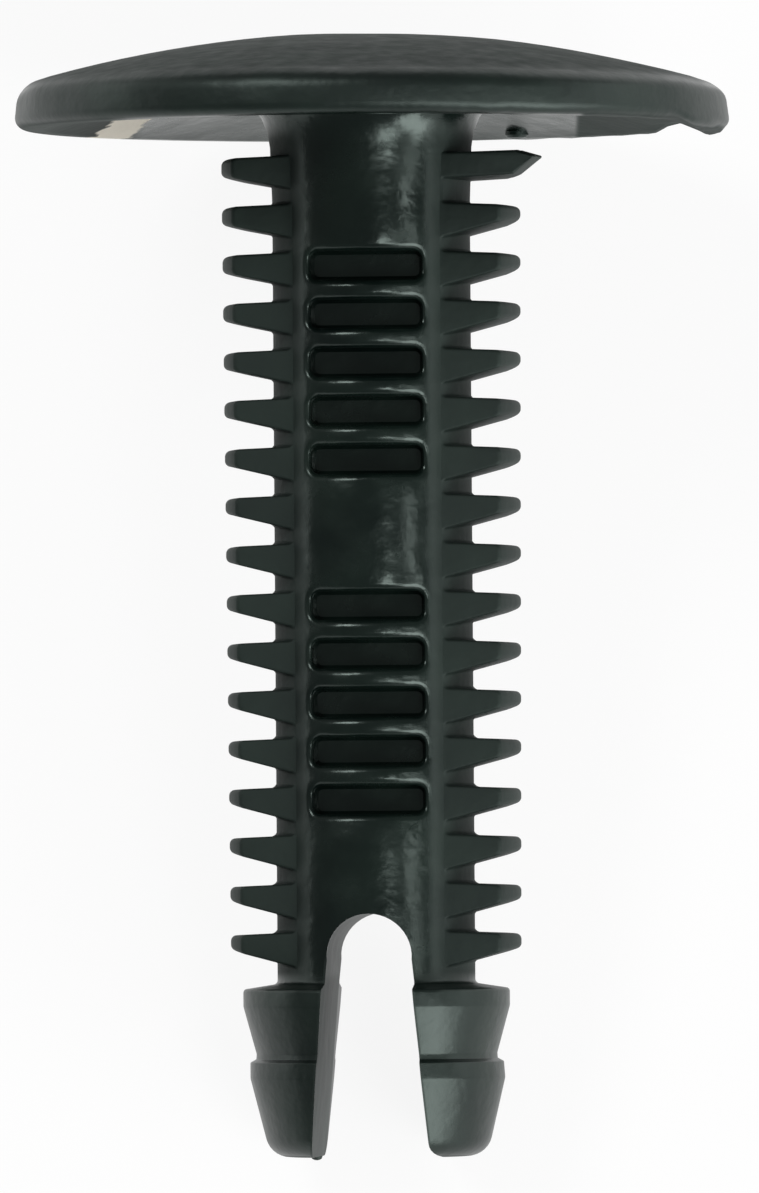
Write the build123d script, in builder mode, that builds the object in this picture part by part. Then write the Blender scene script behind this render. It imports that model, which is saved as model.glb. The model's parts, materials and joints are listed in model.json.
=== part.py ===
from build123d import *
import os
from math import atan2, cos, radians, sin, sqrt, tan

# Push-in fir-tree rivet, moulded in one piece: a wide domed head with a dished underside, a
# round stem with a row of thin fins down each side and a ladder of pockets front and back,
# and a tip split by a slot into two legs, each with two barbs.
#
# It lies as it comes to rest: on the rim of its head and on the lower barb of both legs, head
# towards +Y and raised, ladder face up. Z = 0 is the surface under it.
# Lengths are in millimetres. Every drop is measured down the stem from the seat plane, which
# is the plane of the head's rim that lies on the panel.

# --- Head ---
head_diameter = 25.0
head_height = 3.35  # seat plane to the top of the dome
rim_height = 1.5  # seat plane to the edge of the dome, before it is rounded
rim_top_bevel = 0.5
rim_bottom_bevel = 0.32
seat_width = 0.75  # flat ring that touches the panel
head_thickness = 1.4  # of the dished head on its axis
neck_flare = 1.3

# --- Stem ---
core_diameter = 6.9
stem_length = 35.9

# --- Side fins ---
fin_count = 17
fin_pitch = 1.69
first_fin_drop = 1.54  # to the middle of the first fin at its root
first_fin_span = 10.44  # tip to tip, across both rows
fin_draft = 0.32  # degrees that the fins' tips draw in towards the tip of the stem
fin_root_thickness = 0.97
fin_tip_thickness = 0.425  # of the first fin
fin_top_angle = 2.3
fin_tip_bevel = 0.13
fin_width = 4.6  # front to back

# --- First fin on the right: torn, pulled out of line, ragged at its end ---
# Reaches are from where its sound end would be, rises and falls from its own middle.
torn_top_rise = 0.56
torn_bend_reach = 0.18
torn_bend_rise = 0.64
torn_point_reach = 0.65
torn_point_rise = 0.46
torn_heel_reach = -0.07
torn_heel_fall = 0.14
torn_under_fall = 0.33
torn_bite = 0.45  # depth of the ragged hollow in its end
torn_sweep = 0.6  # how much shorter it is at the back

# --- Ladder of pockets, front and back ---
pocket_width = 3.9
pocket_height = 1.0
first_pocket_drop = 4.88  # to the middle of the first pocket
pockets_in_row = 5
plain_pitches = 2  # pitches left plain between the two rows
web_thickness = 4.0  # left between front and back pockets
rung_bevel = 0.2

# --- Split, barbed tip: its heights are measured up from the end of the stem ---
slot_length = 8.48
slot_round = 1.48
slot_flare = 4.7  # degrees, each side
shoulder_height = 5.95
shoulder_fall = 0.2
barb_diameter = 9.26
barb_land = 0.7
waist_height = 3.7
waist_diameter = 8.44
lower_barb_height = 3.3
lower_barb_diameter = 8.84
lower_barb_land = 0.55
tip_diameter = 7.3
tip_bevel = 0.45
leg_trim = 0.14  # the left leg ends flat, this much short
nub_diameter = 0.42  # gate mark on the left leg's end
nub_height = 0.22
nub_inset = 0.3  # slot's wall to the middle of the nub

# --- Worked out from the sizes above ---
head_radius = head_diameter / 2
core_radius = core_diameter / 2
lower_barb_radius = lower_barb_diameter / 2
dish_height = head_height - head_thickness
seat_inner_radius = head_radius - rim_bottom_bevel - seat_width
dish_radius = (seat_inner_radius**2 + dish_height**2) / (2 * dish_height)
dome_rise = head_height - rim_height
dome_radius = (head_radius**2 + dome_rise**2) / (2 * dome_rise)
fin_half = fin_root_thickness / 2
first_fin_reach = first_fin_span / 2
fin_row_length = first_fin_drop + fin_count * fin_pitch
ladder_length = (2 * pockets_in_row + plain_pitches - 1) * fin_pitch
slot_centre_drop = stem_length - slot_length + slot_round
cut_margin = 2.0  # how far cutting shapes run past what they cut


def slot_half_width(drop):
    """Half the slot's width at a drop below its rounded end."""
    edge = slot_round / cos(radians(slot_flare))
    return edge + (drop - slot_centre_drop) * tan(radians(slot_flare))


# The slope of the stem at which the rim and both lower barbs touch the surface together.
barb_contact_drop = stem_length - lower_barb_height + lower_barb_land
barb_contact_radius = sqrt(lower_barb_radius**2 - slot_half_width(barb_contact_drop) ** 2)
rest_slope = atan2(head_radius - barb_contact_radius, rim_bottom_bevel + barb_contact_drop)

# Planes through the middle of the seat: one faces the ladder, one looks along the stem.
stem_direction = (0, cos(rest_slope), sin(rest_slope))
front_direction = (0, -sin(rest_slope), cos(rest_slope))
front_view = Plane(origin=(0, 0, 0), x_dir=(1, 0, 0), z_dir=front_direction)
seat_view = Plane(origin=(0, 0, 0), x_dir=(1, 0, 0), z_dir=stem_direction)
stem_axis = Axis((0, 0, 0), stem_direction)

# --- Rows of fins, thinner towards their tips, drawn out of the mould front and back ---
with BuildPart() as fin_rows:
    top_slope = tan(radians(fin_top_angle))
    under_slope = (fin_root_thickness - fin_tip_thickness) / (first_fin_reach - core_radius) - top_slope
    fin_ends = []
    with BuildSketch(front_view):
        for index in range(fin_count):
            drop = first_fin_drop + index * fin_pitch
            reach = first_fin_reach - index * fin_pitch * tan(radians(fin_draft))
            tip_top_drop = drop - fin_half + (reach - core_radius) * top_slope
            tip_under_drop = drop + fin_half - (reach - core_radius) * under_slope
            with BuildLine():
                Polyline(
                    (0, fin_half + core_radius * top_slope - drop),
                    (reach, -tip_top_drop),
                    (reach, -tip_under_drop),
                    (0, -fin_half - core_radius * under_slope - drop),
                    close=True,
                )
            make_face()
            # The end of this fin, and the middle of the gap under it.
            half_gap = (fin_pitch - tip_under_drop + tip_top_drop) / 2
            fin_ends += [
                (reach, -tip_top_drop - fin_tip_bevel),
                (reach, -tip_under_drop + fin_tip_bevel),
                (reach - fin_tip_bevel - half_gap, -tip_under_drop - half_gap),
            ]
        mirror(about=Plane.YZ)
        # The first fin on the right is left out.
        with Locations((0, -first_fin_drop)):
            Rectangle(first_fin_span, fin_pitch, align=(Align.MIN, Align.CENTER), mode=Mode.SUBTRACT)
    extrude(amount=fin_width / 2, both=True)
    # The rounded, bevelled ends of all the fins, turned as one outline.
    with BuildSketch(front_view):
        with BuildLine():
            row_start = (first_fin_reach - first_fin_drop, 0)
            Polyline((0, 0), row_start, *fin_ends, (0, -fin_row_length), close=True)
        make_face()
    revolve(axis=stem_axis, mode=Mode.INTERSECT)

# --- The torn fin in its place ---
with BuildPart() as torn_fin:
    with BuildSketch(front_view):
        with BuildLine():
            Polyline(
                (core_radius / 2, torn_top_rise - first_fin_drop),
                (first_fin_reach + torn_bend_reach, torn_bend_rise - first_fin_drop),
                (first_fin_reach + torn_point_reach, torn_point_rise - first_fin_drop),
                (first_fin_reach + torn_heel_reach, -torn_heel_fall - first_fin_drop),
                (core_radius / 2, -torn_under_fall - first_fin_drop),
                close=True,
            )
        make_face()
    extrude(amount=fin_width / 2, both=True)
    # Seen along the stem its end has a tooth each side of the hollow, and falls back behind.
    with BuildSketch(seat_view):
        with BuildLine():
            torn_reach = first_fin_reach + torn_point_reach
            Polyline(
                (0, -fin_width / 2),
                (torn_reach - torn_bite, -fin_width / 2),
                (torn_reach, -fin_width / 4),
                (torn_reach - torn_bite, 0),
                (torn_reach - torn_bite / 2, fin_width / 6),
                (torn_reach - torn_bite - torn_sweep, fin_width / 2),
                (0, fin_width / 2),
                close=True,
            )
        make_face()
    extrude(amount=-(first_fin_drop + fin_pitch), mode=Mode.INTERSECT)

# --- The rivet, with the middle of its seat at the origin ---
with BuildPart() as moulding:
    # The head: a turned disc, domed by one large sphere and dished underneath by another.
    with BuildSketch(front_view) as disc:
        with BuildLine():
            bevel_start = rim_height - rim_top_bevel
            Polyline(
                (0, 0),
                (head_radius - rim_bottom_bevel, 0),
                (head_radius, rim_bottom_bevel),
                (head_radius, bevel_start),
                (head_radius - head_height, bevel_start + head_height),
                (0, bevel_start + head_height),
                close=True,
            )
        make_face()
    revolve(axis=stem_axis)
    with Locations(front_view.from_local_coords((0, head_height - dome_radius, 0))):
        Sphere(dome_radius, mode=Mode.INTERSECT)
    with Locations(front_view.from_local_coords((0, dish_height - dish_radius, 0))):
        Sphere(dish_radius, mode=Mode.SUBTRACT)

    # The flared neck, the core and the barbs.
    with BuildSketch(front_view):
        with BuildLine():
            core_top = dish_height + head_thickness / 2
            flare_start = dish_height - neck_flare
            barb_edge = shoulder_height - shoulder_fall
            tip_slope = (lower_barb_radius - tip_diameter / 2) / (stem_length - barb_contact_drop)
            Polyline(
                (0, core_top),
                (core_radius + core_top - flare_start, core_top),
                (core_radius, flare_start),
                (core_radius, shoulder_height - stem_length),
                (barb_diameter / 2, barb_edge - stem_length),
                (barb_diameter / 2, barb_edge - barb_land - stem_length),
                (waist_diameter / 2, waist_height - stem_length),
                (lower_barb_radius, lower_barb_height - stem_length),
                (lower_barb_radius, -barb_contact_drop),
                (tip_diameter / 2 + tip_slope * tip_bevel, tip_bevel - stem_length),
                (tip_diameter / 2 - tip_bevel, -stem_length),
                (0, -stem_length),
                close=True,
            )
        make_face()
    revolve(axis=stem_axis)

    add(fin_rows.part)
    add(torn_fin.part)

    # Pockets of the ladder, in two rows with a plain pad between them.
    for side in (1, -1):
        with BuildSketch(front_view.offset(side * web_thickness / 2)):
            for row in range(2):
                for step in range(pockets_in_row):
                    pitches = row * (pockets_in_row + plain_pitches) + step
                    with Locations((0, -first_pocket_drop - pitches * fin_pitch)):
                        Rectangle(pocket_width, pocket_height)
        extrude(amount=side * core_radius, mode=Mode.SUBTRACT)

    def is_nose(edge):
        """Whether an edge runs across the front or back of a rung, at a pocket's mouth."""
        drop = -front_view.to_local_coords(edge.center()).Y
        below_first = drop > first_pocket_drop - fin_pitch / 2
        above_last = drop < first_pocket_drop + ladder_length + fin_pitch / 2
        on_core = abs(edge.radius - core_radius) < 1e-4
        across = abs(edge.center().X) < pocket_width / 4 and edge.length < core_diameter
        return on_core and across and below_first and above_last

    # The rungs between the pockets have bevelled noses.
    chamfer(moulding.edges().filter_by(GeomType.CIRCLE).filter_by(is_nose), rung_bevel)

    # The slot that splits the tip into two legs, wider towards its open end.
    with BuildSketch(front_view) as slot:
        with Locations((0, -slot_centre_drop)):
            Circle(slot_round)
        with BuildLine():
            spring_drop = slot_centre_drop - slot_round * sin(radians(slot_flare))
            end_drop = stem_length + cut_margin
            Polyline(
                (-slot_half_width(spring_drop), -spring_drop),
                (slot_half_width(spring_drop), -spring_drop),
                (slot_half_width(end_drop), -end_drop),
                (-slot_half_width(end_drop), -end_drop),
                close=True,
            )
        make_face()
    extrude(amount=barb_diameter, both=True, mode=Mode.SUBTRACT)

    # The left leg's end is cut flat and keeps the gate's nub.
    with BuildSketch(front_view):
        with Locations((0, leg_trim - stem_length)):
            Rectangle(barb_diameter, cut_margin, align=(Align.MAX, Align.MAX))
    extrude(amount=barb_diameter, both=True, mode=Mode.SUBTRACT)
    nub_reach = slot_half_width(stem_length) + nub_inset
    with BuildSketch(seat_view.offset(leg_trim - stem_length + nub_height)):
        with Locations((-nub_reach, 0)):
            Circle(nub_diameter / 2)
    extrude(amount=-2 * nub_height)

# --- Set down with the middle of its outline over the origin ---
with BuildPart() as push_rivet:
    bounds = moulding.part.bounding_box()
    with Locations((-bounds.center().X, -bounds.center().Y, -bounds.min.Z)):
        add(moulding.part)
push_rivet.part.label = "push_rivet"

os.makedirs("parts", exist_ok=True)
export_step(push_rivet.part, "parts/push_rivet.step")
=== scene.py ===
import json
from math import acos, ceil, cos, hypot, pi, radians, sin, sqrt, tan

import bmesh
import bpy
from mathutils import Matrix, Vector, noise

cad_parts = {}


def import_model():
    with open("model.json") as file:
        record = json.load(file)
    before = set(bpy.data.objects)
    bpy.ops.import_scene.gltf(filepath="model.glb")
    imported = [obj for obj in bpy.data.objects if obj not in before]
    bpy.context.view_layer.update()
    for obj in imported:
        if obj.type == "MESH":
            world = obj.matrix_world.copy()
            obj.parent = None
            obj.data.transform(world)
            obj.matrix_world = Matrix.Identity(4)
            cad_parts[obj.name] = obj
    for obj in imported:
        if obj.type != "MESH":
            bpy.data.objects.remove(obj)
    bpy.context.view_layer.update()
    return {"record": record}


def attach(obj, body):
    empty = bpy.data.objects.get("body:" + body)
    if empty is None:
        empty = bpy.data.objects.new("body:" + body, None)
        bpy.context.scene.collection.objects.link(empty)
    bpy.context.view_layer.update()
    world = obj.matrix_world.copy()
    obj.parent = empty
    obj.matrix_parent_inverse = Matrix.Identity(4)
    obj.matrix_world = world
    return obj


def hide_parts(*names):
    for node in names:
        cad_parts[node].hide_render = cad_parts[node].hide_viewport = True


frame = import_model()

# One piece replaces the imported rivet: the same moulding with its small rounds, ragged tear, slight
# warp and mould marks. It is modelled upright in millimetres: X across the fins, Y to the back, Z
# up the stem from the head's seat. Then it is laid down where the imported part's stem mount is.

# --- Sizes, as in the part ---
HEAD_RADIUS = 12.5
HEAD_HEIGHT = 3.35
RIM_HEIGHT = 1.5
HEAD_THICKNESS = 1.4
SEAT_INNER_RADIUS = 11.43
CORE_RADIUS = 3.45
STEM_LENGTH = 35.9
FIN_COUNT = 17
PITCH = 1.69
FIRST_FIN_DROP = 1.54
FIN_REACH = 5.22
FIN_DRAW_IN = tan(radians(0.32))
FIN_HALF = 0.485
FIN_TOP_SLOPE = tan(radians(2.3))
FIN_UNDER_SLOPE = tan(radians(15.0))
FIN_HALF_WIDTH = 2.3
POCKET_HALF_WIDTH = 1.95
POCKET_HALF_HEIGHT = 0.5
FIRST_POCKET_DROP = 4.88
POCKETS_IN_ROW = 5
PLAIN_PITCHES = 2
POCKET_FLOOR = 2.0
UPPER_BARB_RADIUS = 4.65
WAIST_RADIUS = 4.2
LOWER_BARB_RADIUS = 4.42
TIP_RADIUS = 3.72
SLOT_DROP = 27.42
SLOT_ROUND = 1.48
SLOT_FLARE = radians(4.7)

# --- Rounds and small shapes, in millimetres ---
RIM_TOP_ROUND = 0.8
RIM_BOTTOM_ROUND = 0.4
SEAT_ROUND = 0.12
NECK_ROUND = 2.2
NECK_TAPER = 0.15
NECK_HEIGHT = 2.7
FIN_TIP_ROUND = 0.2
FIN_ROOT_ROUND = 0.26
FIN_EDGE_ROUND = 0.1
FIN_SINK = 0.03  # how far a fin's root lies under the core's surface
FIN_ANCHOR = 0.6  # how far a fin reaches into the core
UPPER_LEFT_STOUTER = 0.3  # share by which the first left fin's underside slopes less
RUNG_ROUND = 0.27
POCKET_CORNER = 0.3
LEG_CORNER = 0.5

# --- Steps ---
TURN_STEPS = 160
DOME_STEPS = 14
DISH_STEPS = 8
CORE_STEPS = 36
ARCH_STEPS = 24
WALL_STEPS = 8
CORNER_STEPS = 6
TO_METRES = 0.001


# --- Outlines ---
def arc_corner(before, corner, after, radius, steps):
    """Points of the arc that rounds a corner of an outline."""
    a = (Vector(before) - Vector(corner)).normalized()
    b = (Vector(after) - Vector(corner)).normalized()
    half = acos(max(-1.0, min(1.0, a.dot(b)))) / 2
    if radius <= 0 or half > radians(89.5):
        return [Vector(corner)] * (steps + 1)
    middle = (a + b).normalized()
    centre = Vector(corner) + middle * radius / sin(half)
    start = Vector(corner) + a * radius / tan(half) - centre
    end = Vector(corner) + b * radius / tan(half) - centre
    turn = start.angle(end)
    points = []
    for step in range(steps + 1):
        share = step / steps
        spoke = start * sin((1 - share) * turn) + end * sin(share * turn)
        points.append(centre + spoke / sin(turn))
    return points


def rounded(corners, steps, closed=False):
    """An outline from (x, z, radius) corners, each rounded by the same number of steps."""
    points = []
    last = len(corners) - 1
    for index, (x, z, radius) in enumerate(corners):
        if radius == 0 or (not closed and index in (0, last)):
            points.append(Vector((x, z)))
            continue
        before = corners[index - 1][:2]
        after = corners[(index + 1) % len(corners)][:2]
        points += arc_corner(before, (x, z), after, radius, steps)
    return points


def divided(outline, longest):
    """A closed outline with its long stretches divided, so that it can follow a curved surface."""
    points = []
    for index, point in enumerate(outline):
        following = outline[(index + 1) % len(outline)]
        steps = max(1, ceil((following - point).length / longest))
        points += [point.lerp(following, step / steps) for step in range(steps)]
    return points


def between(value, low, high):
    """A smooth step from 0 at low to 1 at high."""
    share = max(0.0, min(1.0, (value - low) / (high - low)))
    return share * share * (3 - 2 * share)


# --- Meshes ---
def mesh_object(name, vertices, faces):
    """A closed mesh whose faces look outward."""
    mesh = bpy.data.meshes.new(name)
    mesh.from_pydata([tuple(v) for v in vertices], [], faces)
    mesh.validate()
    piece = bpy.data.objects.new(name, mesh)
    bpy.context.scene.collection.objects.link(piece)
    work = bmesh.new()
    work.from_mesh(mesh)
    bmesh.ops.remove_doubles(work, verts=work.verts, dist=1e-5)
    bmesh.ops.recalc_face_normals(work, faces=work.faces)
    if work.calc_volume(signed=True) < 0:
        bmesh.ops.reverse_faces(work, faces=work.faces)
    work.to_mesh(mesh)
    work.free()
    return piece


def lathe(name, outline, steps=TURN_STEPS):
    """A turned solid. The outline's ends lie on the axis."""
    vertices, faces, count = [], [], len(outline)
    for turn in range(steps):
        angle = 2 * pi * turn / steps
        vertices += [(r * cos(angle), r * sin(angle), z) for r, z in outline]
    for turn in range(steps):
        here, there = turn * count, (turn + 1) % steps * count
        for index in range(count - 1):
            faces.append((here + index, there + index, there + index + 1, here + index + 1))
    return mesh_object(name, vertices, faces)


def skin(name, rings):
    """A closed solid through rings of equally many points, with flat ends."""
    vertices, faces, count = [], [], len(rings[0])
    for ring in rings:
        vertices += ring
    for ring in range(len(rings) - 1):
        for index in range(count):
            following = (index + 1) % count
            a, b = ring * count, (ring + 1) * count
            faces.append((a + index, a + following, b + following, b + index))
    faces.append(tuple(range(count)))
    faces.append(tuple(range((len(rings) - 1) * count, len(rings) * count)))
    return mesh_object(name, vertices, faces)


def joined(name, pieces):
    """One object from several. The pieces are removed."""
    work = bmesh.new()
    for piece in pieces:
        work.from_mesh(piece.data)
        bpy.data.objects.remove(piece)
    mesh = bpy.data.meshes.new(name)
    work.to_mesh(mesh)
    work.free()
    result = bpy.data.objects.new(name, mesh)
    bpy.context.scene.collection.objects.link(result)
    return result


def combine(body, tool, operation):
    """Adds or cuts the tool, and removes it."""
    modifier = body.modifiers.new("combine", "BOOLEAN")
    modifier.object = tool
    modifier.operation = operation
    modifier.solver = "EXACT"
    depsgraph = bpy.context.evaluated_depsgraph_get()
    mesh = bpy.data.meshes.new_from_object(body.evaluated_get(depsgraph))
    body.modifiers.clear()
    body.data = mesh
    bpy.data.objects.remove(tool)


# --- Head, core and barbs ---
def ball_radius(half_width, height):
    """The radius of the ball that a cap of this width and height is cut from."""
    return (half_width**2 + height**2) / (2 * height)


DOME_RADIUS = ball_radius(HEAD_RADIUS, HEAD_HEIGHT - RIM_HEIGHT)
DISH_HEIGHT = HEAD_HEIGHT - HEAD_THICKNESS
DISH_RADIUS = ball_radius(SEAT_INNER_RADIUS, DISH_HEIGHT)


def dome(r):
    return HEAD_HEIGHT - DOME_RADIUS + sqrt(DOME_RADIUS**2 - r**2)


def dish(r):
    return DISH_HEIGHT - DISH_RADIUS + sqrt(DISH_RADIUS**2 - r**2)


def head_corners():
    dome_end = HEAD_RADIUS - 1.5 * RIM_TOP_ROUND
    dish_start = SEAT_INNER_RADIUS - 0.6
    dish_end = CORE_RADIUS + 1.25 * NECK_ROUND
    corners = []
    for step in range(DOME_STEPS + 1):
        r = dome_end * step / DOME_STEPS
        corners.append((r, dome(r), 0))
    corners += [
        (HEAD_RADIUS, dome(HEAD_RADIUS), RIM_TOP_ROUND),
        (HEAD_RADIUS, 0, RIM_BOTTOM_ROUND),
        (SEAT_INNER_RADIUS, 0, SEAT_ROUND),
    ]
    for step in range(DISH_STEPS + 1):
        r = dish_start + (dish_end - dish_start) * step / DISH_STEPS
        corners.append((r, dish(r), 0))
    corners.append((CORE_RADIUS + NECK_TAPER, dish(CORE_RADIUS), NECK_ROUND))
    return corners


def core_corners():
    top, end = -NECK_HEIGHT, -29.4
    return [(CORE_RADIUS, top + (end - top) * step / CORE_STEPS, 0) for step in range(CORE_STEPS + 1)]


def barb_corners():
    """Radius, height above the stem's end, and round."""
    heights = [
        (CORE_RADIUS, 6.04, 0.16),
        (UPPER_BARB_RADIUS, 5.85, 0.13),
        (UPPER_BARB_RADIUS, 5.25, 0.35),
        (WAIST_RADIUS, 3.6, 0.25),
        (WAIST_RADIUS + 0.01, 3.42, 0.04),
        (LOWER_BARB_RADIUS, 3.3, 0.05),
        (LOWER_BARB_RADIUS, 2.75, 0.35),
        (TIP_RADIUS, 0, 0.85),
        (0, 0, 0),
    ]
    return [(r, height - STEM_LENGTH, radius) for r, height, radius in heights]


# --- Fins ---
def fin_columns():
    """Places across a fin, front to back, each with how far its rounded edge draws in there."""
    edge_start = FIN_HALF_WIDTH - FIN_EDGE_ROUND
    half = [edge_start * i / 6 for i in range(7)]
    half += [edge_start + FIN_EDGE_ROUND * sin(radians(turn)) for turn in (22, 45, 68, 90)]
    columns = [-y for y in reversed(half[1:])] + half
    drawn = []
    for y in columns:
        past = max(0.0, abs(y) - edge_start)
        drawn.append((y, FIN_EDGE_ROUND - sqrt(max(0.0, FIN_EDGE_ROUND**2 - past**2))))
    return drawn


def fin_rings(index, side):
    """A whole fin. Side is 1 on the right and -1 on the left."""
    drop = FIRST_FIN_DROP + index * PITCH
    reach = FIN_REACH - index * PITCH * FIN_DRAW_IN
    stouter = UPPER_LEFT_STOUTER * max(0.0, 1 - index / 10) if side < 0 else 0.0
    under_slope = FIN_UNDER_SLOPE * (1 - stouter)
    rings = []
    for y, draw in fin_columns():
        root = sqrt(CORE_RADIUS**2 - y**2) - FIN_SINK
        tip = sqrt((reach - draw) ** 2 - y**2)

        def top(x):
            return -drop + FIN_HALF - (x - CORE_RADIUS) * FIN_TOP_SLOPE - draw

        def under(x):
            return -drop - FIN_HALF + (x - CORE_RADIUS) * under_slope + draw

        room = (PITCH - top(root) + under(root)) / 2 - 0.02
        root_round = min(FIN_ROOT_ROUND, 0.95 * room)
        tip_round = min(FIN_TIP_ROUND, 0.47 * (top(tip) - under(tip)))
        corners = [
            (root - FIN_ANCHOR, top(root) + room, 0),
            (root, top(root) + room, 0),
            (root, top(root), root_round),
            (tip, top(tip), tip_round),
            (tip, under(tip), tip_round),
            (root, under(root), root_round),
            (root, under(root) - room, 0),
            (root - FIN_ANCHOR, under(root) - room, 0),
        ]
        outline = rounded(corners, CORNER_STEPS, closed=True)
        rings.append([(side * x, y, z) for x, z in outline])
    return rings


def torn_rings():
    """The first fin on the right: pulled up and outward, its end ragged and slanting back."""
    root_top, top, under, root_under = -0.66, -0.98, -1.86, -2.2
    root_round, bend_round, point_round, heel_round = 0.22, 0.1, 0.05, 0.07
    bend, point, heel = (5.35, -0.9), (6.08, -1.12), (5.3, -1.74)
    rings = []
    for y, draw in fin_columns():
        root = sqrt(CORE_RADIUS**2 - y**2) - FIN_SINK
        back = (y + FIN_HALF_WIDTH) / (2 * FIN_HALF_WIDTH)
        ragged = 0.16 * noise.noise(Vector((y * 1.7, 0.3, 0)))
        ragged += 0.07 * noise.noise(Vector((y * 6, 1.3, 0)))
        shift = ragged - 0.25 * abs(y / FIN_HALF_WIDTH + 0.3) - 0.5 * back**2
        corners = [
            (root - FIN_ANCHOR, root_top, 0),
            (root, root_top, 0),
            (root, top - draw, root_round),
            (bend[0] + 0.6 * shift, bend[1] - draw + 0.3 * ragged, bend_round),
            (point[0] + shift, point[1] + 0.4 * ragged, point_round),
            (heel[0] + 0.8 * shift, heel[1] + draw + 0.3 * ragged, heel_round),
            (root, under + draw, root_round),
            (root, root_under, 0),
            (root - FIN_ANCHOR, root_under, 0),
        ]
        rings.append([(x, y, z) for x, z in rounded(corners, CORNER_STEPS, closed=True)])
    return rings


def make_fins():
    fins = []
    for index in range(FIN_COUNT):
        fins.append(skin("fin", fin_rings(index, -1)))
        if index:
            fins.append(skin("fin", fin_rings(index, 1)))
    fins.append(skin("fin", torn_rings()))
    return joined("fins", fins)


# --- Pockets ---
def pocket_levels():
    """How far the mouth has grown at each level, and its depth under the stem's round surface."""
    levels = [(-0.12, None), (0.0, None)]
    for turn in (0, 18, 36, 54, 70, 80):
        grow = RUNG_ROUND * (1 - cos(radians(turn)))
        levels.append((grow, RUNG_ROUND * (1 - sin(radians(turn)))))
    return levels + [(0.29, -0.01), (0.3, None)]


def grown(x, z, grow):
    """A point of the pocket's outline, moved outward from the middle of the nearest corner's round."""
    x_in = max(abs(x) - (POCKET_HALF_WIDTH - POCKET_CORNER), 0.0)
    z_in = max(abs(z) - (POCKET_HALF_HEIGHT - POCKET_CORNER), 0.0)
    length = hypot(x_in, z_in) or 1.0
    grown_x = x + grow * x_in / length * (1 if x > 0 else -1)
    grown_z = z + grow * z_in / length * (1 if z > 0 else -1)
    return grown_x, grown_z


def pocket_cutter(drop, side):
    """A rounded pocket whose mouth flares, so the rungs beside it get round noses."""
    corners = []
    for x, z in ((-1, -1), (1, -1), (1, 1), (-1, 1)):
        corners.append((x * POCKET_HALF_WIDTH, z * POCKET_HALF_HEIGHT, POCKET_CORNER))
    inner = divided(rounded(corners, CORNER_STEPS, closed=True), 0.2)
    # Levels without a depth are flat: the floor, its bevel, and the end outside the stem.
    flat_places = {-0.12: POCKET_FLOOR, 0.0: POCKET_FLOOR + 0.12, 0.3: CORE_RADIUS + 0.5}
    rings = []
    for grow, depth in pocket_levels():
        ring = []
        for point in inner:
            x, z = grown(*point, grow)
            y = flat_places[grow] if depth is None else sqrt(CORE_RADIUS**2 - x**2) - depth
            ring.append((x, side * y, z - drop))
        rings.append(ring)
    return skin("pocket", rings)


def make_pockets():
    cutters = []
    for row in range(2):
        for step in range(POCKETS_IN_ROW):
            pitches = row * (POCKETS_IN_ROW + PLAIN_PITCHES) + step
            for side in (-1, 1):
                cutters.append(pocket_cutter(FIRST_POCKET_DROP + pitches * PITCH, side))
    return joined("pockets", cutters)


# --- Slot ---
ARCH_CENTRE = -SLOT_DROP - SLOT_ROUND


def slot_wall(z):
    """Half the slot's width under its arch."""
    return SLOT_ROUND / cos(SLOT_FLARE) + (ARCH_CENTRE - z) * tan(SLOT_FLARE)


def slot_cutter():
    """The slot, with the right leg's inner corner rounded."""
    below = -STEM_LENGTH - 2
    arch = []
    for step in range(ARCH_STEPS + 1):
        angle = -SLOT_FLARE + (pi + 2 * SLOT_FLARE) * step / ARCH_STEPS
        arch.append((SLOT_ROUND * cos(angle), ARCH_CENTRE + SLOT_ROUND * sin(angle)))
    left_start, right_start = arch[-1][1], arch[0][1]
    left = []
    for step in range(1, WALL_STEPS + 1):
        z = left_start + (below - left_start) * step / WALL_STEPS
        left.append((-slot_wall(z), z))
    corner_top = -STEM_LENGTH + LEG_CORNER
    mouth = slot_wall(corner_top) + LEG_CORNER
    right = [(mouth, below), (mouth, -STEM_LENGTH - 0.05)]
    for turn in (75, 60, 45, 30, 15):
        angle = radians(turn)
        right.append((mouth - LEG_CORNER * cos(angle), corner_top - LEG_CORNER * sin(angle)))
    for step in range(WALL_STEPS, 0, -1):
        z = right_start + (corner_top - right_start) * step / WALL_STEPS
        right.append((slot_wall(z), z))
    return skin("slot", [[(x, y, z) for x, z in arch + left + right] for y in (-6, -2, 2, 6)])


# --- Small marks and wear ---
def knob(name, place, radius, height):
    """A small round-ended mark that hangs down from a place on the head's seat or the stem's end."""
    x, y, z = place
    turns = [2 * pi * i / 24 for i in range(24)]
    rings = []
    for share, grow in ((-0.4, 1.0), (0.3, 1.0), (0.7, 0.85), (0.92, 0.5), (1.0, 0.2)):
        reach, level = radius * grow, z - height * share
        rings.append([(x + reach * cos(turn), y + reach * sin(turn), level) for turn in turns])
    return skin(name, rings)


def warp_head(vertex, x, z):
    """The dome sags to the right, and both ends of the rim slant inward towards the top."""
    sag = 0.05 + 0.06 * between(x, -3, 0.5) + 0.08 * between(x, 4, 10)
    vertex.co.z -= sag * between(z, 0.9, 1.6)
    vertex.co.x += (0.09 + 0.09 * between(z, 0.4, 1.3)) * between(x, -11, -12.2)
    vertex.co.x -= 0.14 * between(z, 0.5, 1.3) * between(x, 11, 12.2)


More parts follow.
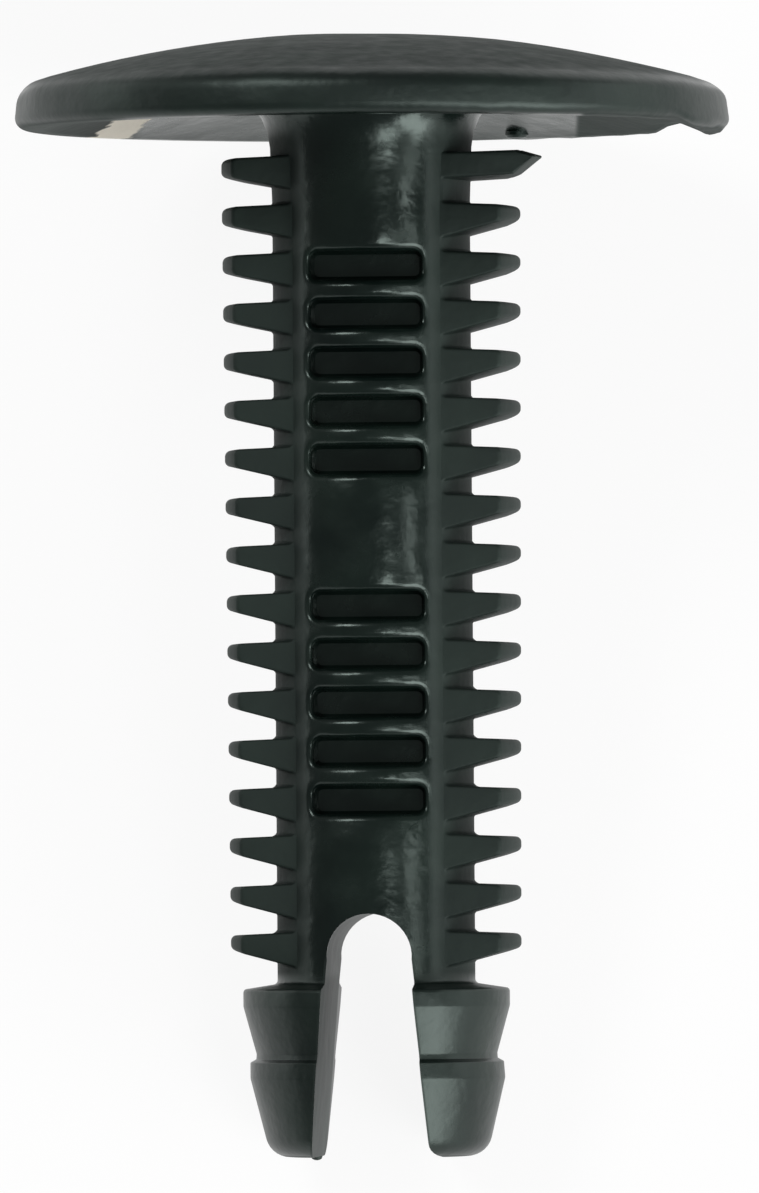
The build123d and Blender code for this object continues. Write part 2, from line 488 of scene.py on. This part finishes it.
def fray_right_end(vertex, x, y, z, reach):
    """The rim's right end has a notch in its lower edge and a corner that hangs beside it."""
    low = between(z, 1.2, 0.3) * between(reach, 9.5, 11.2)
    notch = between(x, 9.4, 10.2) * between(x, 11.25, 10.75) * between(y, -2, 1)
    corner = between(x, 11.0, 11.5) * (1 - 0.5 * between(x, 11.9, 12.3))
    ragged = noise.noise(Vector((x * 1.3, y * 1.3, 2)))
    vertex.co.z += low * (0.3 * notch - 0.22 * corner + 0.04 * ragged)
    widest = HEAD_RADIUS - 0.01
    vertex.co.x = min(vertex.co.x + 0.12 * corner * between(z, 0.5, 0.1), widest)


def wear(body):
    """The head's slight warp and uneven right end, and the right leg's stouter tip."""
    for vertex in body.data.vertices:
        x, y, z = vertex.co
        reach = hypot(x, y)
        if reach > 6 and z > -0.5 or z > 1.2:
            warp_head(vertex, x, z)
        if reach > 9.5 and x > 0 and z < 1.2:
            fray_right_end(vertex, x, y, z, reach)
        if z < -32.3 and x > 1:
            vertex.co.x += 0.1 * between(z, -32.3, -34) * between(x, 1.6, 4.0)


# --- The rivet ---
def make_rivet():
    outline = rounded(head_corners() + core_corners() + barb_corners(), 7)
    body = lathe("push_rivet_detail", outline)
    combine(body, make_fins(), "UNION")
    combine(body, make_pockets(), "DIFFERENCE")
    combine(body, slot_cutter(), "DIFFERENCE")
    gate_mark = knob("gate_mark", (-2.3, 2.0, 0.02 - STEM_LENGTH), 0.2, 0.18)
    seat_mark = knob("seat_mark", (4.4, 10.1, 0.16), 0.42, 0.2)
    combine(body, joined("marks", [gate_mark, seat_mark]), "UNION")
    wear(body)
    return body


def lay_down(piece):
    """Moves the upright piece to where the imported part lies, and returns that placing in metres."""
    mount = next(m for m in frame["record"]["mounts"] if m["name"] == "fir_tree_stem")
    stem = -Vector(mount["axis"]).normalized()
    back = stem.cross(Vector((1, 0, 0)))
    turn = Matrix((Vector((1, 0, 0)), back, stem)).transposed().to_4x4()
    placing = Matrix.Translation(Vector(mount["pos_m"])) @ turn
    piece.data.transform(placing @ Matrix.Scale(TO_METRES, 4))
    return placing


rivet = make_rivet()
placing = lay_down(rivet)
rivet.data.shade_smooth()
rivet.data.set_sharp_from_angle(angle=radians(32))


# --- Material ---
NYLON_DARK = (0.002, 0.0045, 0.004)
NYLON_LIGHT = (0.006, 0.0115, 0.009)
# A painted glint: this pale colour stands in for light caught across the left of the seat's face.
PAINTED_GLINT_COLOUR = (0.86, 0.8, 0.69, 1.0)
SMOOTH_FINISH = (0.17, 0.3)  # roughness of the stem's front, from and to
GRAIN_FINISH = (0.66, 0.8)  # of the dome
MATT_FINISH = 0.66  # of the stem's sides and the slot
BARB_FINISH = 0.46
RIM_FINISH = 0.42
DULL_FINISH = 0.72  # of the dull areas and the painted glint on the seat's face


class Graph:
    """Short ways to add nodes to a material."""

    def __init__(self, material):
        self.nodes = material.node_tree.nodes
        self.links = material.node_tree.links
        self.place = self.nodes.new("ShaderNodeTexCoord").outputs["Object"]

    def feed(self, value, socket):
        """Sets a socket to a number or a colour, or links it."""
        if isinstance(value, (float, tuple)):
            socket.default_value = value
        else:
            self.links.new(value, socket)

    def noise(self, scale, detail):
        node = self.nodes.new("ShaderNodeTexNoise")
        node.inputs["Scale"].default_value = scale
        node.inputs["Detail"].default_value = detail
        self.links.new(self.place, node.inputs["Vector"])
        return node.outputs["Fac"]

    def ramp(self, source, low, high):
        node = self.nodes.new("ShaderNodeValToRGB")
        for element, position, colour in zip(node.color_ramp.elements, (0.3, 0.7), (low, high)):
            element.position = position
            element.color = (*colour, 1)
        self.links.new(source, node.inputs["Fac"])
        return node.outputs["Color"]

    def calc(self, operation, first, second=0.0):
        node = self.nodes.new("ShaderNodeMath")
        node.operation = operation
        self.feed(first, node.inputs[0])
        self.feed(second, node.inputs[1])
        return node.outputs[0]

    def times(self, *factors):
        product = factors[0]
        for factor in factors[1:]:
            product = self.calc("MULTIPLY", product, factor)
        return product

    def step(self, source, start, end):
        """A smooth step from 0 at start to 1 at end."""
        node = self.nodes.new("ShaderNodeMapRange")
        node.interpolation_type = "SMOOTHSTEP"
        node.inputs["From Min"].default_value = start
        node.inputs["From Max"].default_value = end
        self.links.new(source, node.inputs["Value"])
        return node.outputs["Result"]

    def mixed(self, share, first, second, kind="FLOAT"):
        node = self.nodes.new("ShaderNodeMix")
        node.data_type = kind
        sockets = {socket.name: socket for socket in node.inputs if socket.enabled}
        self.feed(share, sockets["Factor"])
        self.feed(first, sockets["A"])
        self.feed(second, sockets["B"])
        return next(socket for socket in node.outputs if socket.enabled)

    def bump(self, strength, distance, height, under=None):
        node = self.nodes.new("ShaderNodeBump")
        node.inputs["Strength"].default_value = strength
        node.inputs["Distance"].default_value = distance
        self.links.new(height, node.inputs["Height"])
        if under:
            self.links.new(under, node.inputs["Normal"])
        return node.outputs["Normal"]

    def upright(self):
        """Upright places in millimetres from the seat: across, to the back and along the stem."""
        seat = self.nodes.new("ShaderNodeVectorMath")
        seat.operation = "SUBTRACT"
        seat.inputs[1].default_value = placing.translation
        self.links.new(self.place, seat.inputs[0])
        places = []
        for direction in placing.to_3x3().col:
            node = self.nodes.new("ShaderNodeVectorMath")
            node.operation = "DOT_PRODUCT"
            node.inputs[1].default_value = direction / TO_METRES
            self.links.new(seat.outputs["Vector"], node.inputs[0])
            places.append(node.outputs["Value"])
        return places


def seat_areas(graph, across, back, along, reach):
    """The dull areas of the seat's face, and the pale patch across its left where a glint is painted.
    """
    inner = graph.step(reach, 5.5, 6.5)
    outer = graph.step(reach, 12.4, 12.2)
    face = graph.times(graph.step(along, 1.2, 0.7), inner, outer)

    # Dull past a straight edge on the right, and gradually towards the left.
    slanted = graph.calc("ADD", across, graph.times(back, 0.08))
    dull = graph.calc("MAXIMUM", graph.step(slanted, 7.2, 7.45), graph.step(slanted, -7.9, -9.4))
    dull = graph.times(dull, face)

    # The painted glint follows a line, and its edges are ragged.
    off_line = graph.calc("ADD", graph.times(across, 0.88), graph.times(back, 0.47))
    off_line = graph.calc("ABSOLUTE", graph.calc("ADD", off_line, 5.7))
    on_line = graph.calc("SUBTRACT", graph.times(across, 0.47), graph.times(back, 0.88))
    on_line = graph.calc("ABSOLUTE", graph.calc("ADD", on_line, 8.6))
    ragged = graph.times(graph.calc("SUBTRACT", graph.noise(1300, 5), 0.5), 0.9)
    width = graph.step(graph.calc("ADD", off_line, ragged), 0.95, 0.75)
    length = graph.step(on_line, 2.9, 2.3)
    painted_glint = graph.times(width, length, face, graph.step(along, -0.6, -0.3))
    return dull, painted_glint


def matt_areas(graph, across, back, along, reach):
    """The stem's sides with its fins' ends, and in part the slot's faces."""
    off_middle = graph.calc("ABSOLUTE", across)
    sides = graph.times(graph.step(off_middle, 1.95, 2.6), graph.step(along, -29.8, -29.4))
    from_wall = graph.calc("ADD", off_middle, graph.times(along, tan(SLOT_FLARE)))
    leg_faces = graph.times(graph.step(from_wall, -0.80, -0.84), graph.step(along, -28.6, -29.2))
    slot = graph.calc("MAXIMUM", leg_faces, graph.step(reach, 3.42, 3.36))
    slot = graph.times(slot, graph.step(along, -27.0, -27.6), graph.step(back, 3.3, 2.9), 0.6)
    return graph.times(graph.calc("MAXIMUM", sides, slot), graph.step(along, 0.4, -0.6))


def nylon():
    material = bpy.data.materials.new("black_nylon")
    material.use_nodes = True
    graph = Graph(material)
    across, back, along = graph.upright()
    squares = graph.calc("ADD", graph.calc("POWER", across, 2.0), graph.calc("POWER", back, 2.0))
    reach = graph.calc("SQRT", squares)
    dull, painted_glint = seat_areas(graph, across, back, along, reach)
    matt = matt_areas(graph, across, back, along, reach)
    barbs = graph.times(graph.step(along, -29.4, -29.8), 0.6)
    rim_wall = graph.times(graph.step(reach, 12.1, 12.4), graph.step(along, 1.6, 1.2))

    black = graph.ramp(graph.noise(350, 4), NYLON_DARK, NYLON_LIGHT)
    smooth = graph.ramp(graph.noise(700, 5), *[(value,) * 3 for value in SMOOTH_FINISH])
    grain = graph.ramp(graph.noise(1500, 5), *[(value,) * 3 for value in GRAIN_FINISH])
    finish = graph.mixed(graph.step(along, 1.2, 1.8), smooth, grain)
    finish = graph.mixed(barbs, finish, BARB_FINISH)
    finish = graph.mixed(matt, finish, MATT_FINISH)
    finish = graph.mixed(rim_wall, finish, RIM_FINISH)
    finish = graph.mixed(graph.calc("MAXIMUM", dull, painted_glint), finish, DULL_FINISH)
    waves = graph.bump(1.0, 0.00006, graph.noise(650, 3))

    shader = graph.nodes["Principled BSDF"].inputs
    shader["IOR"].default_value = 1.53
    shader["Specular Tint"].default_value = (0.83, 1.0, 0.93, 1)
    shader["Specular IOR Level"].default_value = 0.4
    # The base colour is painted pale where the glint falls on the seat's face.
    graph.feed(graph.mixed(painted_glint, black, PAINTED_GLINT_COLOUR, "RGBA"), shader["Base Color"])
    graph.feed(finish, shader["Roughness"])
    graph.feed(graph.bump(0.3, 0.00003, graph.noise(3500, 6), waves), shader["Normal"])
    return material


rivet.data.materials.clear()
rivet.data.materials.append(nylon())
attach(rivet, "root")
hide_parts("push_rivet")


# --- Floor, background and lamps ---
FLOOR_HALF = 3.0
FLOOR_COLOUR = (0.93, 0.93, 0.93, 1)
PAPER_WHITE = 0.9  # how much of the floor's own white the camera and the reflections see
WORLD_LEVEL = 0.2
LAMP_DISTANCE = 0.5
LAMP_AIM = Vector((0, 0, -0.015))  # a point of the stem's axis, upright in metres


def paper():
    """A lit paper, seen by the camera and in reflections as mostly its own white."""
    material = bpy.data.materials.new("paper")
    material.use_nodes = True
    nodes, links = material.node_tree.nodes, material.node_tree.links
    shader = nodes["Principled BSDF"]
    shader.inputs["Base Color"].default_value = FLOOR_COLOUR
    shader.inputs["Roughness"].default_value = 0.9
    path = nodes.new("ShaderNodeLightPath")
    seen = path.outputs["Is Camera Ray"]
    for ray in ("Is Glossy Ray", "Is Transmission Ray"):
        either = nodes.new("ShaderNodeMath")
        either.operation = "MAXIMUM"
        links.new(seen, either.inputs[0])
        links.new(path.outputs[ray], either.inputs[1])
        seen = either.outputs[0]
    share = nodes.new("ShaderNodeMath")
    share.operation = "MULTIPLY"
    share.inputs[1].default_value = PAPER_WHITE
    links.new(seen, share.inputs[0])
    glow = nodes.new("ShaderNodeEmission")
    mix = nodes.new("ShaderNodeMixShader")
    links.new(share.outputs[0], mix.inputs["Fac"])
    links.new(shader.outputs["BSDF"], mix.inputs[1])
    links.new(glow.outputs["Emission"], mix.inputs[2])
    links.new(mix.outputs["Shader"], nodes["Material Output"].inputs["Surface"])
    return material


def floor():
    corners = [(x * FLOOR_HALF, y * FLOOR_HALF, 0) for x, y in ((-1, -1), (1, -1), (1, 1), (-1, 1))]
    mesh = bpy.data.meshes.new("floor")
    mesh.from_pydata(corners, [], [(0, 1, 2, 3)])
    mesh.materials.append(paper())
    plane = bpy.data.objects.new("floor", mesh)
    bpy.context.scene.collection.objects.link(plane)


def world():
    shades = bpy.data.worlds.new("studio")
    shades.use_nodes = True
    background = shades.node_tree.nodes["Background"]
    background.inputs["Color"].default_value = (1, 1, 1, 1)
    background.inputs["Strength"].default_value = WORLD_LEVEL
    bpy.context.scene.world = shades


def lamp(name, azimuth, elevation, size, power):
    """A soft lamp aimed at the stem: azimuth to the right of its front, elevation up the stem."""
    light = bpy.data.lights.new(name, "AREA")
    light.shape = "RECTANGLE"
    light.size, light.size_y = size
    light.energy = power
    piece = bpy.data.objects.new(name, light)
    bpy.context.scene.collection.objects.link(piece)
    azimuth, elevation = radians(azimuth), radians(elevation)
    level = cos(elevation)
    away = Vector((level * sin(azimuth), -level * cos(azimuth), sin(elevation)))
    start, end = placing @ (LAMP_AIM + away * LAMP_DISTANCE), placing @ LAMP_AIM
    piece.location = start
    piece.rotation_euler = (end - start).to_track_quat("-Z", "Y").to_euler()


# --- Camera, placed upright round the stem as the photograph's was ---
IMAGE_HEIGHT = 1193.0
PIXELS_PER_MM = 28.66  # at the stem's axis
CAMERA_DISTANCE = 0.60
CAMERA_TURN = radians(4.6)
CAMERA_LEVEL = -0.0249  # metres from the seat along the stem
CENTRE_ALONG = -0.01637  # what the middle of the image looks at
CENTRE_ACROSS = 0.000198
CAMERA_ROLL = radians(0.404)


def camera():
    data = bpy.data.cameras.new("camera")
    piece = bpy.data.objects.new("camera", data)
    bpy.context.scene.collection.objects.link(piece)
    bpy.context.scene.camera = piece
    right = Vector((cos(CAMERA_TURN), sin(CAMERA_TURN), 0))
    stand = Vector((sin(CAMERA_TURN), -cos(CAMERA_TURN), 0)) * CAMERA_DISTANCE
    stand.z = CAMERA_LEVEL
    target = Vector((0, 0, CENTRE_ALONG)) + right * CENTRE_ACROSS
    back = (stand - target).normalized()
    right = Vector((0, 0, 1)).cross(back).normalized()
    up = back.cross(right)
    rolled_up = up * cos(CAMERA_ROLL) + right * sin(CAMERA_ROLL)
    rolled_right = right * cos(CAMERA_ROLL) - up * sin(CAMERA_ROLL)
    view = Matrix((rolled_right, rolled_up, back)).transposed().to_4x4()
    piece.matrix_world = placing @ Matrix.Translation(stand) @ view
    data.sensor_fit = "VERTICAL"
    data.sensor_height = 24.0
    data.lens = data.sensor_height * CAMERA_DISTANCE * 1000 * PIXELS_PER_MM / IMAGE_HEIGHT
    data.clip_start = 0.01
    data.clip_end = 10


floor()
world()
lamp("right_lamp", azimuth=24, elevation=-18, size=(0.13, 0.18), power=0.7)
lamp("edge_lamp", azimuth=47, elevation=0, size=(0.03, 0.12), power=0.1)
lamp("low_lamp", azimuth=60, elevation=-30, size=(0.32, 0.26), power=1.9)
lamp("left_lamp", azimuth=-30, elevation=32, size=(0.18, 0.16), power=0.9)
lamp("right_side", azimuth=100, elevation=15, size=(0.4, 0.4), power=1.0)
lamp("left_side", azimuth=-105, elevation=15, size=(0.4, 0.4), power=1.0)
camera()

bpy.context.scene.view_settings.view_transform = "Standard"
